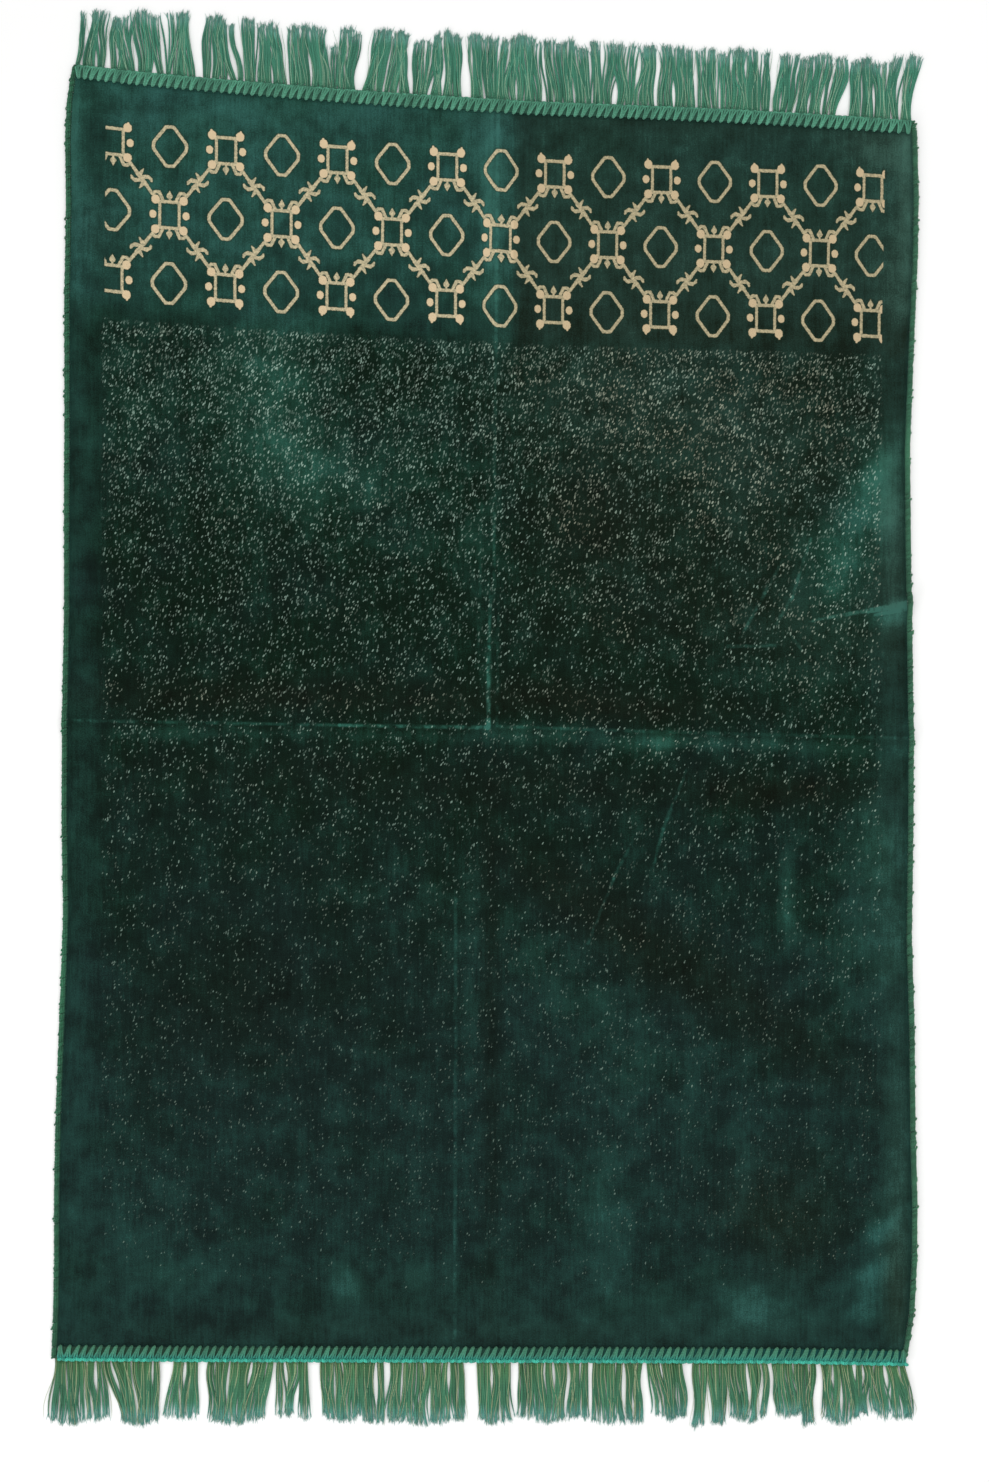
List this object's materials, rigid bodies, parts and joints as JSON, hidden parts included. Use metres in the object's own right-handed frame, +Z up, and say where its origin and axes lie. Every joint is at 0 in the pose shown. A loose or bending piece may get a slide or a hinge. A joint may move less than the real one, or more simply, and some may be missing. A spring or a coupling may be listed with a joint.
{
  "type": "prayer rug",
  "caption": "Velour prayer rug lying flat, with a lattice band at one end, serged sides, whip-stitched headings and fringed ends.",
  "frame": {"origin": "middle of the bounding box at the floor the rug lies on", "axes": "+Y along the rug's length towards its patterned end, +X to the right seen from above, +Z up out of the pile"},
  "size_m": [0.7197, 1.1738, 0.0097],
  "materials": {
    "velour": "cut-pile velour, dark bottle green with a gold lattice band and pale flecks",
    "serging_yarn": "fine overlock yarn, mid green",
    "whip_stitch_yarn": "soft plied yarn, mid green",
    "fringe_yarn": "loose plied yarn, mid green with paler frayed ends"
  },
  "bodies": {
    "root": {"velour_panel": "velour", "side_binding_left": "serging_yarn", "side_binding_right": "serging_yarn", "heading_top": "whip_stitch_yarn", "heading_bottom": "whip_stitch_yarn", "fringe_top": "fringe_yarn", "fringe_bottom": "fringe_yarn"}
  },
  "joints": []
}
